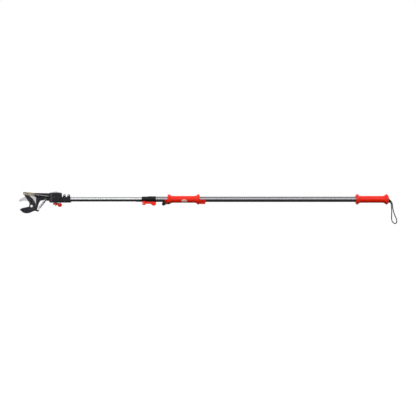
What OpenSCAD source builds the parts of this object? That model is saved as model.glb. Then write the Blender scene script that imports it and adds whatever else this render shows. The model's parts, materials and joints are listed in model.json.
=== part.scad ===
// Telescoping pole pruner: a bypass cutting head on a swivel at the end of a two-section pole,
// worked by a cord that a sliding grip pulls along the pole.
// X runs along the pole, +X towards the hand end; the blades lie in the XZ plane.

/* [Pole] */
// Outside diameter of the outer (hand side) tube
outer_d = 32.5; // [32:0.1:33]
// Outside diameter of the inner (head side) tube
inner_d = 27; // [26.8:0.1:27.2]
// Wall of the outer tube
outer_wall = 1.5; // [1.2:0.1:1.6]
// Wall of the inner tube
inner_wall = 1.3; // [1:0.1:1.5]
// From the middle of the end grip to the front of the clamp collar
collar_reach = 1378; // [1300:1:1450]
// From the front of the clamp collar to the swivel axis, pole closed
head_reach = 518; // [500:1:700]
// Length of the inner tube that stays inside the outer one when closed
inner_inside = 1278; // [1150:1:1285]

/* [Grips] */
// Distance between the two rims of a grip
grip_rims = 175; // [165:1:185]
// Radius of a grip's rims
rim_r = 31.5; // [29:0.5:34]
// Radius of a grip's waist
waist_r = 20.5; // [20:0.5:22]
// From the middle of the end grip to the middle of the sliding grip
slide_reach = 1128; // [1100:1:1140]

/* [Cutting head] */
// From the swivel axis forward to the blade pivot
pivot_reach = 142; // [140:0.5:145]
// Depth of the blade pivot below the pole axis
pivot_drop = 41; // [40:0.5:42]
// Radius of the swivel discs
disc_r = 38; // [36:0.5:39]
// Thickness of the cutting blade
blade_t = 3; // [2.5:0.1:3.2]
// Thickness of the counter blade
counter_t = 4; // [3:0.1:4.2]

/* [Cord] */
// Diameter of the pull cord
cord_d = 4; // [3:0.1:4]
// Diameter of the wrist strap's cord
strap_d = 6; // [5:0.1:6]

/* [Hidden] */
$fn = 64;
eps = 0.3;
outer_r = outer_d / 2;
inner_r = inner_d / 2;
cord_r = cord_d / 2;
x_collar = -collar_reach;
x_swivel = x_collar - head_reach;
x_pivot = x_swivel - pivot_reach;
z_pivot = -pivot_drop;
x_slide = -slide_reach;

// Cord groove along the underside of both tubes
outer_groove_w = 8;
outer_groove_z = -9.25;
inner_groove_w = 12.5;
inner_groove_z = -7;
cord_z = -11.4;

// Pole stations
x_outer_front = x_collar + 33;
x_outer_back = 90;
x_inner_back = x_collar + inner_inside;
x_saddle_front = x_swivel + 38;
x_saddle_back = x_swivel + 91;
x_step = x_collar + 38;
x_collar_back = x_collar + 84;
bush_len = 30;

// Clamp lever
clamp_x = x_collar + 12;
clamp_z = -23.5;

// Cord lock on the sliding grip
lock_x = x_slide - 92;
lock_z = -24;

// Layers across the blade plane, from the front (-Y) to the back
lever_front = -4.4;
blade_back = 0.6;
blade_front = blade_back - blade_t;
counter_front = blade_back + eps;
counter_back = counter_front + counter_t;
web_back = 11;

// Points of the cutting head, measured from the blade pivot
counter_end = 24.4;
link_pin = [-40, 74];
tail_pin = [38, -18];
anchor_x = x_swivel - 56;
anchor_z = 2;
pulley_x = x_swivel - 148;
pulley_z = 31;
arm_floor = 13.5;
arm_floor_top = 15.7;

// Swivel stack
split_z = 13;
disc_top = 41.5;
disc_bottom = -20;
bolt_r = 5;
well_r = 19;

// ---------------------------------------------------------------- shared shapes

// Extrudes an XZ outline across the blade plane, from y0 to y1
module plate(y0, y1) {
    translate([0, y1, 0]) rotate([90, 0, 0]) linear_extrude(y1 - y0) children();
}

// Extrudes a YZ profile along the pole, from x0 to x1
module profile_x(x0, x1) {
    translate([x0, 0, 0]) rotate([90, 0, 90]) linear_extrude(x1 - x0) children();
}

module rod_x(x0, x1, r) {
    translate([x0, 0, 0]) rotate([0, 90, 0]) cylinder(r = r, h = x1 - x0);
}

module rod_y(x, z, r, y0, y1) {
    translate([x, y1, z]) rotate([90, 0, 0]) cylinder(r = r, h = y1 - y0);
}

// Box from its lowest to its highest corner
module span(a, b) {
    translate(a) cube([b[0] - a[0], b[1] - a[1], b[2] - a[2]]);
}

// Revolves a [distance along X, radius] outline about the pole axis
module turned_x(outline) {
    rotate([0, 90, 0]) rotate_extrude() polygon([for (p = outline) [p[1], p[0]]]);
}

module at_pivot() {
    translate([x_pivot, 0, z_pivot]) children();
}

function arc(c, r, a0, a1, n = 10) =
    [for (i = [0:n]) c + r * [cos(a0 + (a1 - a0) * i / n), sin(a0 + (a1 - a0) * i / n)]];

function blend_point(a, b, c, d, t) =
    0.5 * (2 * b + (c - a) * t + (2 * a - 5 * b + 4 * c - d) * t * t + (3 * b - a - 3 * c + d) * t * t * t);

// Smooth open curve through hand-placed points
function curve(p, n = 4) = [
    for (i = [0:len(p) - 2]) for (k = [0:n - 1])
        blend_point(p[max(i - 1, 0)], p[i], p[i + 1], p[min(i + 2, len(p) - 1)], k / n),
    p[len(p) - 1]
];

function unit(v) = v / norm(v);

function tangent(p, i) = unit(p[min(i + 1, len(p) - 1)] - p[max(i - 1, 0)]);

// Ring of a swept tube; its first axis stays as close to Y as the route allows
function ring(p, i, r, sides) = let (
    t = tangent(p, i),
    side = unit(cross(cross(t, [0, 1, 0]), t)),
    up = cross(t, side)
) [for (k = [0:sides - 1]) p[i] + r * (cos(360 * k / sides) * side + sin(360 * k / sides) * up)];

// Round tube swept along a list of points
module swept(p, r, sides = 8) {
    last = len(p) - 1;
    points = [for (i = [0:last]) each ring(p, i, r, sides)];
    walls = [for (i = [0:last - 1]) for (k = [0:sides - 1]) let (n = (k + 1) % sides)
        [i * sides + k, (i + 1) * sides + k, (i + 1) * sides + n, i * sides + n]];
    start = [for (k = [0:sides - 1]) k];
    end = [for (k = [sides - 1:-1:0]) last * sides + k];
    polyhedron(points, concat(walls, [start], [end]), convexity = 6);
}

// Torus in the XZ plane
module ring_xz(x, z, r, wire) {
    translate([x, 0, z]) rotate([90, 0, 0]) rotate_extrude() translate([r, 0]) circle(wire, $fn = 16);
}

// ---------------------------------------------------------------- pole

module outer_section() {
    difference() {
        circle(outer_r);
        translate([-outer_groove_w / 2, -outer_r - 1])
            square([outer_groove_w, outer_r + 1 + outer_groove_z]);
        difference() {
            circle(outer_r - outer_wall);
            translate([-outer_groove_w / 2 - outer_wall, -outer_r])
                square([outer_groove_w + 2 * outer_wall, outer_r + outer_groove_z + outer_wall]);
        }
    }
}

module inner_section() {
    difference() {
        circle(inner_r);
        translate([-inner_groove_w / 2, -inner_r - 1])
            square([inner_groove_w, inner_r + 1 + inner_groove_z]);
        difference() {
            circle(inner_r - inner_wall);
            translate([-inner_groove_w / 2 - inner_wall, -inner_r])
                square([inner_groove_w + 2 * inner_wall, inner_r + inner_groove_z + inner_wall]);
        }
    }
}

module outer_tube() {
    color("silver") profile_x(x_outer_front, x_outer_back) outer_section();
}

module inner_tube() {
    color("silver") profile_x(x_saddle_front, x_inner_back) inner_section();
}

// Plastic slide ring on the inner tube's hidden end
module inner_tube_bush() {
    color("dimgray") profile_x(x_inner_back - bush_len, x_inner_back) difference() {
        circle(outer_r - outer_wall - 0.05);
        circle(inner_r + 0.02);
        translate([-inner_groove_w / 2, -outer_r]) square([inner_groove_w, outer_r + inner_groove_z]);
    }
}

// Split collar: grips the outer tube behind the step, clamps the inner tube in front of it
module clamp_collar() {
    front_r = 17;
    back_r = 18.6;
    ear_y = 7.6;
    ear_out = 12;
    color([0.1, 0.1, 0.1]) difference() {
        union() {
            rod_x(x_collar, x_step, front_r);
            rod_x(x_step - 2, x_collar_back, back_r);
            for (s = [-1, 1]) plate(s * (ear_y + ear_out) / 2 - (ear_out - ear_y) / 2,
                                    s * (ear_y + ear_out) / 2 + (ear_out - ear_y) / 2) {
                translate([clamp_x, clamp_z]) circle(8);
                translate([clamp_x - 8, clamp_z]) square([16, 13]);
            }
            // tongue that guides the inner tube ahead of the collar
            intersection() {
                rod_x(x_collar - 36, x_collar + 1, 14.9);
                span([x_collar - 36, -15, -15], [x_collar + 1, 15, -4]);
            }
        }
        rod_x(x_collar - 40, x_outer_front + 0.2, inner_r + 0.07);
        rod_x(x_outer_front, x_collar_back + 1, outer_r + 0.03);
        // slit that lets the front half close on the tube
        span([x_collar - 1, -1, 10], [x_step - 6, 1, 20]);
        // pocket for the shoe
        span([clamp_x - 8.2, -ear_y, -20], [clamp_x + 8.2, ear_y, -9]);
        rod_y(clamp_x, clamp_z, 3.05, -ear_out - 1, ear_out + 1);
        for (s = [-1, 1]) {
            rod_y(x_collar_back - 21, 10, 1.6, s * 16.5 - 2.5, s * 16.5 + 2.5);
            rod_y(x_collar_back - 21, 10, 3.5, s * 18.6 - 2, s * 18.6 + 2);
        }
    }
}

module collar_screws() {
    color("gray") for (s = [-1, 1]) {
        rod_y(x_collar_back - 21, 10, 1.5, s * 15.5 - 1.5, s * 15.5 + 1.5);
        rod_y(x_collar_back - 21, 10, 3.4, s * 17.9 - 1.2, s * 17.9 + 1.2);
    }
}

// Brake shoe between the clamp lever's cam and the inner tube
module clamp_shoe() {
    color([0.15, 0.15, 0.15]) difference() {
        span([clamp_x - 7.8, -7.2, -16.1], [clamp_x + 7.8, 7.2, -10.5]);
        rod_x(clamp_x - 9, clamp_x + 9, inner_r + 0.05);
        span([clamp_x - 9, -3, -14], [clamp_x + 9, 3, -10]);
    }
}

module clamp_lever_pin() {
    color("gray") rod_y(clamp_x, clamp_z, 3, -20, 20);
}

// Over-centre lever: cheeks outside the collar's ears, a cam between them
module clamp_lever() {
    cheek_in = 15.5;
    cheek_out = 19;
    cheek_t = cheek_out - cheek_in;
    bar_bottom = -27;
    color([0.85, 0.16, 0.1]) difference() {
        union() {
            for (y = [-cheek_out, cheek_in]) plate(y, y + cheek_t) {
                translate([clamp_x, clamp_z - 2.8]) circle(8.5);
                translate([clamp_x - 8.5, clamp_z - 2.8]) square([17, 15.3]);
                polygon([[clamp_x, -14], [clamp_x + 62, -14], [clamp_x + 69, -16.5], [clamp_x + 70, -24],
                    [clamp_x, bar_bottom]]);
            }
            plate(-cheek_out, cheek_out) polygon(concat(
                [[clamp_x + 13, -20], [clamp_x + 56, -20]],
                curve([[clamp_x + 66, -21], [clamp_x + 72.5, -26], [clamp_x + 70, -33], [clamp_x + 60, -38],
                    [clamp_x + 50, -35], [clamp_x + 42, -28.5], [clamp_x + 34, bar_bottom]]),
                [[clamp_x + 13, bar_bottom]]
            ));
            // cam, its hub and the arm that joins it to the bar
            rod_y(clamp_x, clamp_z + 0.4, 6.6, -7, 7);
            rod_y(clamp_x, clamp_z, 5, -7.3, 7.3);
            plate(-6, 6) translate([clamp_x, bar_bottom]) square([16, 3.5]);
        }
        rod_y(clamp_x, clamp_z, 3.06, -21, 21);
    }
}

// ---------------------------------------------------------------- grips

// Dumbbell outline from the middle of a grip outwards, as [along, radius]
grip_flare = curve([
    [grip_rims / 2 - 26, waist_r], [grip_rims / 2 - 18, waist_r + 0.8], [grip_rims / 2 - 11, waist_r + 3.6],
    [grip_rims / 2 - 6, rim_r - 3.2], [grip_rims / 2 - 2, rim_r - 0.3], [grip_rims / 2 + 2, rim_r - 0.2],
    [grip_rims / 2 + 6, rim_r - 2.6], [grip_rims / 2 + 8.5, rim_r - 6], [grip_rims / 2 + 9, rim_r - 9]
]);

function grip_half(side) = concat([[0, waist_r]], [for (p = grip_flare) [side * p[0], p[1]]]);

module grip_body(x, bore) {
    left = grip_half(-1);
    right = grip_half(1);
    end = grip_rims / 2 + 9;
    outline = concat([for (i = [len(left) - 1:-1:1]) left[i]], right, [[end, bore], [-end, bore]]);
    translate([x, 0, 0]) turned_x(outline);
}

module end_grip() {
    color([0.85, 0.16, 0.1]) grip_body(0, outer_r + 0.03);
}

// Cap in the pole's end with the lug that the wrist strap passes through
module end_plug() {
    key_y = outer_groove_w / 2 + outer_wall + 0.1;
    color([0.08, 0.08, 0.08]) union() {
        difference() {
            rod_x(72, 98, outer_r - outer_wall - 0.05);
            span([60, -key_y, -outer_r], [x_outer_back + 0.5, key_y, outer_groove_z + outer_wall + 0.1]);
        }
        rod_x(x_outer_back + 0.5, 97, outer_r);
        rod_x(96.7, 99.5, 21);
        plate(-6.5, 6.5) polygon(concat(
            [[97, 3], [102, 2.5]],
            curve([[107, 0], [112, -4.5], [115, -9.5], [115.5, -14], [112, -18.5], [106, -20.5]]),
            [[97, -20.5]]
        ));
    }
}

strap_route = [
    [108, 0, -13.5], [112, 0, -17.5], [115.5, 0, -24], [117.5, 0, -34], [118.5, 0, -46], [119.5, 0, -60],
    [120, 0, -75], [119.5, 0, -90], [119, 0, -105], [119.5, 0, -118], [121.5, 0, -128], [125.5, 0, -136],
    [131.5, 0, -142], [139, 0, -145], [145, 0, -143.5], [149, 0, -138], [150.5, 0, -130.5], [149, 0, -122],
    [145.5, 0, -112], [141, 0, -101], [136.5, 0, -90], [132.5, 0, -78], [129, 0, -66], [126.5, 0, -54],
    [125.5, 0, -43], [124.5, 0, -33], [122, 0, -23.5], [118, 0, -15], [113, 0, -9], [108, 0, -6]
];

module wrist_strap() {
    color([0.12, 0.12, 0.12]) swept(strap_route, strap_d / 2);
}

module slide_grip() {
    end = grip_rims / 2 + 9;
    color([0.85, 0.16, 0.1]) difference() {
        grip_body(x_slide, 19.1);
        // room for the cord lock in the front rim
        span([x_slide - end - 1, -10.3, -40], [lock_x + 9, 10.3, -16]);
        for (s = [-1, 1]) translate([x_slide + s * 40, 0, -24]) cylinder(r = 3.02, h = 6);
        for (s = [-1, 1]) rod_y(lock_x, lock_z, 6.2, s * 20 - 12, s * 20 + 12);
    }
}

// Bearing sleeve under the sliding grip, with a cradle showing at each end
module slide_carriage() {
    front = x_slide - 112;
    back = x_slide + 133;
    grip_end = grip_rims / 2 + 9;
    color([0.8, 0.14, 0.08]) difference() {
        union() {
            rod_x(x_slide - grip_end, x_slide + grip_end, 19);
            intersection() {
                profile_x(front, x_slide - grip_end) {
                    circle(19);
                    translate([-10, -25]) square([20, 20]);
                }
                span([front, -20, -25], [x_slide, 20, -1]);
            }
            intersection() {
                profile_x(x_slide + grip_end, back) {
                    circle(20);
                    translate([-14, -18]) square([28, 10]);
                }
                span([x_slide, -20, -20], [back, 20, -2]);
            }
            // narrower foot under the rear cradle
            profile_x(x_slide + grip_end, back - 4)
                polygon([[-10, -17], [10, -17], [8.6, -28.5], [-8.6, -28.5]]);
            // ears that carry the lock pin
            plate(-10, 10) {
                translate([lock_x, lock_z]) circle(6);
                translate([lock_x - 6, lock_z]) square([12, 10]);
            }
        }
        rod_x(front - 1, back + 1, outer_r + 0.08);
        // slot for the lock lever and jaw
        span([front - 1, -6.2, -40], [lock_x + 7, 6.2, -12]);
        rod_y(lock_x, lock_z, 3.03, -12, 12);
        for (s = [-1, 1]) translate([x_slide + s * 40, 0, -20]) cylinder(r = 1.42, h = 4);
        // open pocket in the rear cradle
        span([x_slide + grip_end + 2, -6.5, -25], [back - 7, 6.5, -12]);
    }
}

module carriage_screws() {
    color("gray") for (s = [-1, 1]) {
        translate([x_slide + s * 40, 0, -21.3]) cylinder(r = 3, h = 2);
        translate([x_slide + s * 40, 0, -19.5]) cylinder(r = 1.4, h = 2.8);
    }
}

function oval(half_w, half_h) = [for (a = [0:10:350]) [half_w * cos(a), half_h * sin(a)]];

// Blank oval badge with a raised rim, curved over the front of the sliding grip
module grip_badge() {
    badge_at = [x_slide + 4, 0, -9.5];
    color([0.75, 0.72, 0.68]) intersection() {
        difference() {
            rod_x(x_slide - 20, x_slide + 30, waist_r + 0.9);
            rod_x(x_slide - 21, x_slide + 31, waist_r + 0.02);
            intersection() {
                difference() {
                    rod_x(x_slide - 20, x_slide + 30, waist_r + 2);
                    rod_x(x_slide - 21, x_slide + 31, waist_r + 0.5);
                }
                translate(badge_at) plate(-waist_r - 2, -5) difference() {
                    polygon(oval(13.5, 6));
                    square([14, 3], center = true);
                }
            }
        }
        translate(badge_at) plate(-waist_r - 2, -5) polygon(oval(16, 8.5));
    }
}

module lock_pin() {
    color("gray") union() {
        rod_y(lock_x, lock_z, 3, -14, 14);
        for (s = [-1, 1]) rod_y(lock_x, lock_z, 5.9, s * 15.3 - 5, s * 15.3 + 5);
    }
}

// Jaw that presses the cord into its groove
module lock_jaw() {
    color("dimgray") span([lock_x - 5, -3.6, -17.6], [lock_x + 5, 3.6, cord_z - cord_r - 0.2]);
}

// Three turns round the lock pin, beside the lever's hub
module lock_spring() {
    turns = 3;
    pitch = 0.9;
    color("silver") for (i = [0:turns - 1])
        translate([lock_x, 3.7 + i * pitch, lock_z]) rotate([90, 0, 0]) rotate_extrude()
            translate([4.2, 0]) circle(0.4, $fn = 16);
}

module cord_lock_lever() {
    color([0.1, 0.1, 0.1]) difference() {
        union() {
            rod_y(lock_x, lock_z, 5.4, -5.6, 3.2);
            plate(-5.6, 3.2) polygon([[lock_x, lock_z - 5.4], [lock_x, lock_z + 0.5],
                [lock_x - 20, lock_z + 0.5], [lock_x - 21, lock_z - 7]]);
            // thumb tab, forked around the tube
            plate(-20, 20) polygon(concat(
                [[lock_x - 20.6, -5], [lock_x - 20.6, -26], [lock_x - 16, -29.5]],
                curve([[lock_x - 21, -35], [lock_x - 30, -38], [lock_x - 37, -31], [lock_x - 33.5, -16],
                    [lock_x - 27, -4.5]])
            ));
        }
        rod_x(lock_x - 40, lock_x - 10, outer_r + 0.8);
        span([lock_x - 36, -outer_r - 0.8, -3], [lock_x - 10, outer_r + 0.8, 0]);
        rod_y(lock_x, lock_z, 3.05, -7, 7);
    }
}

// ---------------------------------------------------------------- cord along the pole

module pull_cord() {
    color([0.12, 0.12, 0.12]) translate([0, 0, cord_z]) rod_x(x_swivel + 28, x_inner_back - 2, cord_r);
}

module cord_ferrule() {
    color("dimgray") translate([0, 0, cord_z]) rod_x(x_inner_back - 2, x_inner_back + 4, cord_r + 0.1);
}

// ---------------------------------------------------------------- swivel, pole side

module swivel_base() {
    half_w = 17;
    color([0.2, 0.2, 0.21]) difference() {
        union() {
            translate([x_swivel, 0, 0]) rotate_extrude() polygon([
                [0, disc_bottom], [disc_r - 6, disc_bottom], [disc_r - 2, disc_bottom + 2],
                [disc_r, disc_bottom + 6], [disc_r, split_z - 1], [disc_r - 1, split_z], [0, split_z]
            ]);
            profile_x(x_swivel + 20, x_saddle_back) polygon(concat(
                arc([-half_w + 3, 11.5], 3, 180, 90, 4), arc([half_w - 3, 11.5], 3, 90, 0, 4),
                arc([half_w - 7, disc_bottom + 7], 7, 0, -90, 5),
                arc([-half_w + 7, disc_bottom + 7], 7, -90, -180, 5)
            ));
            // ears on both sides of the slit, each with a cross screw
            for (ear = [0, 1]) for (s = [-1, 1])
                plate(s * 6.5 - 3, s * 6.5 + 3) translate([x_swivel + 53 + ear * 26, 0]) polygon(concat(
                    [[-9, 8], [9, 8], [9, 15], [7, 19]],
                    arc([0, 26], 5, 10, 170, 6),
                    [[-7, 19], [-9, 15]]
                ));
        }
        rod_x(x_saddle_front, x_saddle_back + 1, inner_r + 0.02);
        translate([x_swivel, 0, split_z]) cylinder(r = disc_r + 0.6, h = 12);
        // lightening ring, hidden under the upper disc
        translate([x_swivel, 0, -12]) difference() {
            cylinder(r = disc_r - 4.5, h = 21);
            translate([0, 0, -1]) cylinder(r = 15, h = 23);
            span([0, -disc_r, -1], [disc_r, disc_r, 22]);
        }
        // slit along the top of the saddle
        span([x_saddle_front, -3, 8], [x_saddle_back + 1, 3, 40]);
        // bore for the bolt and the well that the cord climbs through
        translate([x_swivel, 0, -30]) cylinder(r = bolt_r + 0.05, h = 60);
        span([x_swivel + 8.5, -6, -16], [x_swivel + 32, 6, split_z + 1]);
        span([x_swivel + 31, -6, -15], [x_saddle_front + 1, 6, inner_groove_z]);
        for (ear = [0, 1]) rod_y(x_swivel + 53 + ear * 26, 24.5, 2.05, -12, 12);
        rod_y(x_swivel + 20, cord_z + cord_r + 4.2, 1.55, -12, 12);
        translate([x_swivel + 27, 10, -21]) cylinder(r = 2.02, h = 8);
    }
}

module saddle_screws() {
    color("gray") for (ear = [0, 1]) {
        rod_y(x_swivel + 53 + ear * 26, 24.5, 2, -9.5, 12.5);
        rod_y(x_swivel + 53 + ear * 26, 24.5, 3.8, -12.2, -9.5);
    }
}

module saddle_nuts() {
    color("gray") for (ear = [0, 1]) difference() {
        translate([x_swivel + 53 + ear * 26, 12.6, 24.5]) rotate([90, 0, 0]) cylinder(r = 4, h = 3, $fn = 6);
        rod_y(x_swivel + 53 + ear * 26, 24.5, 2.03, 9, 13);
    }
}

// Carriage bolt through both discs, dome on top
module swivel_bolt() {
    color("dimgray") translate([x_swivel, 0, 0]) rotate_extrude() polygon(concat(
        [[0, -40], [3.6, -40], [bolt_r, -38.5], [bolt_r, disc_top + 0.1], [12, disc_top + 0.1]],
        [for (i = [1:6]) [12 * cos(90 * i / 6), disc_top + 0.8 + 5.7 * sin(90 * i / 6)]]
    ));
}

module swivel_stop_pin() {
    color([0.08, 0.08, 0.08]) translate([x_swivel + 27, 10, -23.2]) cylinder(r = 2, h = 10.1);
}

// Roller that turns the cord from the groove up through the swivel
module cord_roller() {
    color("silver") translate([x_swivel + 20, 0, cord_z + cord_r + 4.2]) rotate([90, 0, 0]) rotate_extrude()
        polygon([[1.55, -4.5], [6, -4.5], [6, -3], [3.6, -1.6], [3.6, 1.6], [6, 3], [6, 4.5], [1.55, 4.5]]);
}

module roller_pin() {
    color("gray") rod_y(x_swivel + 20, cord_z + cord_r + 4.2, 1.5, -10, 10);
}

swivel_cord_route = [
    for (p = [[28, -11.4], [24, -11.4], [20, -11.4], [17, -10.6], [14.8, -8.2], [14, -5],
        [14, 0], [14, 6], [14, 12.9]]) [p[0], 0, p[1]]
];

module swivel_cord() {
    color([0.12, 0.12, 0.12]) translate([x_swivel, 0, 0]) swept(swivel_cord_route, cord_r - 0.1);
}

// Threaded quick lever under the swivel
module swivel_lever() {
    color([0.85, 0.16, 0.1]) translate([x_swivel, 0, 0]) difference() {
        union() {
            translate([0, 0, -33]) cylinder(r = 15.5, h = 12);
            translate([0, -5.5, -32]) cube([26, 11, 8.5]);
            translate([25, 0, -33.5]) rotate_extrude() polygon(concat(
                [[0, -11.8]], [for (a = [-75:13:55]) [13.5 * cos(a), 12 * sin(a)]], [[0, 10]]));
        }
        translate([0, 0, -45]) cylinder(r = 8.5, h = 30);
    }
}

module swivel_lever_insert() {
    color("gray") translate([x_swivel, 0, -35]) difference() {
        cylinder(r = 8.45, h = 14);
        translate([0, 0, -1]) cylinder(r = bolt_r + 0.05, h = 20);
    }
}

// ---------------------------------------------------------------- cutting head, fixed side

// Right-hand edge of the web, measured from the swivel axis, kept clear of the stretched spring
web_right = concat(
    curve([[-116, -58], [-110.5, -50], [-107, -40], [-101.5, -22], [-92, -8.5], [-83, -7], [-75, -5.5],
        [-68, 0]]),
    [[-60, 5], [-60, arm_floor + 1]]
);

// Cast frame: swivel cap, open-topped arm, web and the plate behind the pivot
module head_frame() {
    arm_front = x_swivel - 124;
    arm_y = 11;
    ridge_out = 3.6;
    web_front = counter_end - pivot_reach + 0.2;
    slot_y = 7.5;
    color([0.27, 0.26, 0.28]) difference() {
        union() {
            translate([x_swivel, 0, 0]) rotate_extrude() polygon([
                [0, split_z + eps], [disc_r - 1, split_z + eps], [disc_r, split_z + 1.3],
                [disc_r, disc_top - 6], [disc_r - 3, disc_top - 2], [disc_r - 14, disc_top], [0, disc_top]
            ]);
            plate(-arm_y, arm_y) polygon([[arm_front, arm_floor], [arm_front, 36], [arm_front + 2, 38],
                [x_swivel - 30, 36.5], [x_swivel - 30, arm_floor]]);
            // neck in front of the swivel base
            plate(-arm_y, arm_y) polygon(concat(
                [[x_swivel - 38.8, arm_floor + 1], [x_swivel - 38.8, -9], [x_swivel - 50, -9]],
                arc([anchor_x, anchor_z], 6, 250, 130, 8),
                [[x_swivel - 60, arm_floor + 1]]
            ));
            // ridge along the front of the arm, sloping away above and below its crest
            translate([x_swivel - 118, 0, 31]) rotate([0, 7, 0]) profile_x(0, 80) polygon([
                [-arm_y + 1, 0], [-arm_y, 0], [-arm_y - ridge_out, -5.5], [-arm_y, -14], [-arm_y + 1, -14]
            ]);
            // rear plate that carries the counter blade, and the web beside that blade
            translate([x_swivel, 0, 0]) {
                plate(counter_back + 0.05, web_back) polygon(concat(
                    [[-118, arm_floor + 1], [-118, 9], [-134, 9], [-136, -10], [-pivot_reach - 4, -26]],
                    arc([-pivot_reach, z_pivot], 16, 110, 300, 12),
                    web_right
                ));
                plate(counter_front, web_back) polygon(concat(
                    [[web_front, arm_floor + 1], [web_front, -58]],
                    web_right
                ));
                plate(-5, web_back) polygon(concat(
                    [[-107, arm_floor + 1], [-107, -12]],
                    curve([[-98, -12], [-92, -8.5], [-83, -7], [-75, -5.5], [-68, 0]]),
                    [[-60, 5], [-60, arm_floor + 1]]
                ));
            }
        }
        // channel of the arm: open above and in front, roofed near the swivel
        span([arm_front - 1, -slot_y, arm_floor_top], [x_swivel - 43, slot_y, 45]);
        span([x_swivel - 44, -slot_y, arm_floor_top], [x_swivel - 12, slot_y, 34]);
        span([arm_front - 1, -slot_y, arm_floor - 1], [x_swivel - 108.5, slot_y, 45]);
        // bolt bore and the ring-shaped well for the cord
        translate([x_swivel, 0, 0]) cylinder(r = bolt_r + 0.05, h = 60);
        translate([x_swivel, 0, split_z]) difference() {
            cylinder(r = well_r, h = 21);
            translate([0, 0, -1]) cylinder(r = 9, h = 23);
        }
        // shallow recess in the web
        span([x_swivel - 82, -6, -1], [x_swivel - 67, -2, 10]);
        // slot and bore for the spring's upper loop
        span([x_swivel - 64, -1.6, -7.5], [x_swivel - 47, 1.6, 10.5]);
        rod_y(anchor_x, anchor_z, 2.03, -12, 12);
        rod_y(x_swivel - 42, 18, 1.55, -12, 12);
        // pivot bore and rivet bores
        rod_y(x_pivot, z_pivot, 4.05, 0, 12);
        for (p = counter_rivets) rod_y(x_swivel + p[0], p[1], 2.03, 0, 12);
    }
}

counter_rivets = [[-125, 2], [-125, -14]];

counter_outline = concat(
    curve([[-78.5, 29.5], [-77, 35], [-72.5, 41.5], [-66, 45.5], [-57, 49.5], [-49, 54.5], [-41, 57.5],
        [-20, 59], [8, 58.5], [counter_end, 55.5]]),
    curve([[counter_end, -9], [21, -13.5], [14, -16.5], [5, -17.5], [-8, -16], [-16, -7], [-17.5, 4],
        [-17, 16], [-20, 25], [-28, 31], [-40, 33], [-52, 32.5], [-62, 30], [-70, 27.5], [-76, 26.8]])
);

// Fixed hooked blade
module counter_blade() {
    color([0.8, 0.8, 0.8]) difference() {
        at_pivot() plate(counter_front, counter_back) polygon(counter_outline);
        rod_y(x_pivot, z_pivot, 4.05, 0, 12);
        for (p = counter_rivets) rod_y(x_swivel + p[0], p[1], 2.03, 0, 12);
    }
}

module counter_blade_rivets() {
    color("gray") for (p = counter_rivets) {
        rod_y(x_swivel + p[0], p[1], 2, counter_front + 0.1, web_back + 0.1);
        rod_y(x_swivel + p[0], p[1], 3.6, web_back + 0.1, web_back + 1.8);
    }
}

module pivot_bolt() {
    color("silver") union() {
        rod_y(x_pivot, z_pivot, 3.97, -6.5, 19);
        rod_y(x_pivot, z_pivot, 7.5, -10, -6.5);
    }
}

module pivot_nut() {
    color("silver") difference() {
        translate([x_pivot, 17, z_pivot]) rotate([90, 0, 0]) cylinder(r = 7.5, h = 5.8, $fn = 6);
        rod_y(x_pivot, z_pivot, 4, 10, 19);
    }
}

module spring_pin() {
    color("gray") rod_y(anchor_x, anchor_z, 2, -11.5, 11.5);
}

module cord_anchor_pin() {
    color("gray") rod_y(x_swivel - 42, 18, 1.5, -11.2, 11.2);
}

// Tension spring from the neck to the blade's tail
tail = [x_pivot + tail_pin[0], z_pivot + tail_pin[1]];
spring_len = norm([tail[0] - anchor_x, tail[1] - anchor_z]);
spring_turn = atan2(tail[0] - anchor_x, tail[1] - anchor_z);
coil_r = 5.75;
wire_r = 1;
coil_start = 8;
coil_turns = 34;
turn_steps = 10;

function coil_point(i) = [
    coil_r * cos(360 * i / turn_steps),
    coil_r * sin(360 * i / turn_steps),
    coil_start + (spring_len - 2 * coil_start - 1.5) * i / (coil_turns * turn_steps)
];

module return_spring() {
    color("silver") {
        translate([anchor_x, 0, anchor_z]) rotate([0, spring_turn, 0])
            swept([for (i = [0:coil_turns * turn_steps]) coil_point(i)], wire_r, 6);
        ring_xz(anchor_x, anchor_z, 4, wire_r);
        translate([anchor_x, 0, anchor_z]) rotate([0, spring_turn, 0]) translate([0, 0, 4.4])
            cylinder(r = wire_r, h = 4);
    }
}

module spring_hook() {
    color("silver") translate([0, -4.6, 0]) {
        ring_xz(tail[0], tail[1], 4.6, wire_r);
        translate([tail[0], 0, tail[1]]) rotate([0, spring_turn, 0]) translate([0, 0, -8])
            cylinder(r = wire_r, h = 3.6);
    }
}

head_cord_route = [
    for (p = [[-44.5, 0, 18.6], [-60, 0, 19.7], [-85, 0, 21], [-110, 0, 22.6], [-135, 0, 24.2],
        [-148, 0, 24.5], [-151.5, 0, 25.5], [-153.9, 0, 28.2], [-154.4, 0, 31.6], [-153, 0, 34.9],
        [-150.3, 0, 36.7], [-147, 0, 37], [-125, 0, 34.9], [-100, 0, 33.2], [-85, 0, 32.3], [-72, 0, 31.4],
        [-50, 0, 30.6], [-30, 0, 30], [-21, 3, 29.6], [-13, 9, 29], [-4, 13, 28.4], [6, 12.6, 27.6],
        [11.5, 8, 26.4], [13.6, 3.4, 23.8], [14, 0.8, 20.4], [14, 0, 17], [14, 0, split_z + eps]]) p
];

module head_cord() {
    color([0.12, 0.12, 0.12]) translate([x_swivel, 0, 0]) swept(head_cord_route, cord_r - 0.1);
}

// ---------------------------------------------------------------- cutting head, moving side

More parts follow.
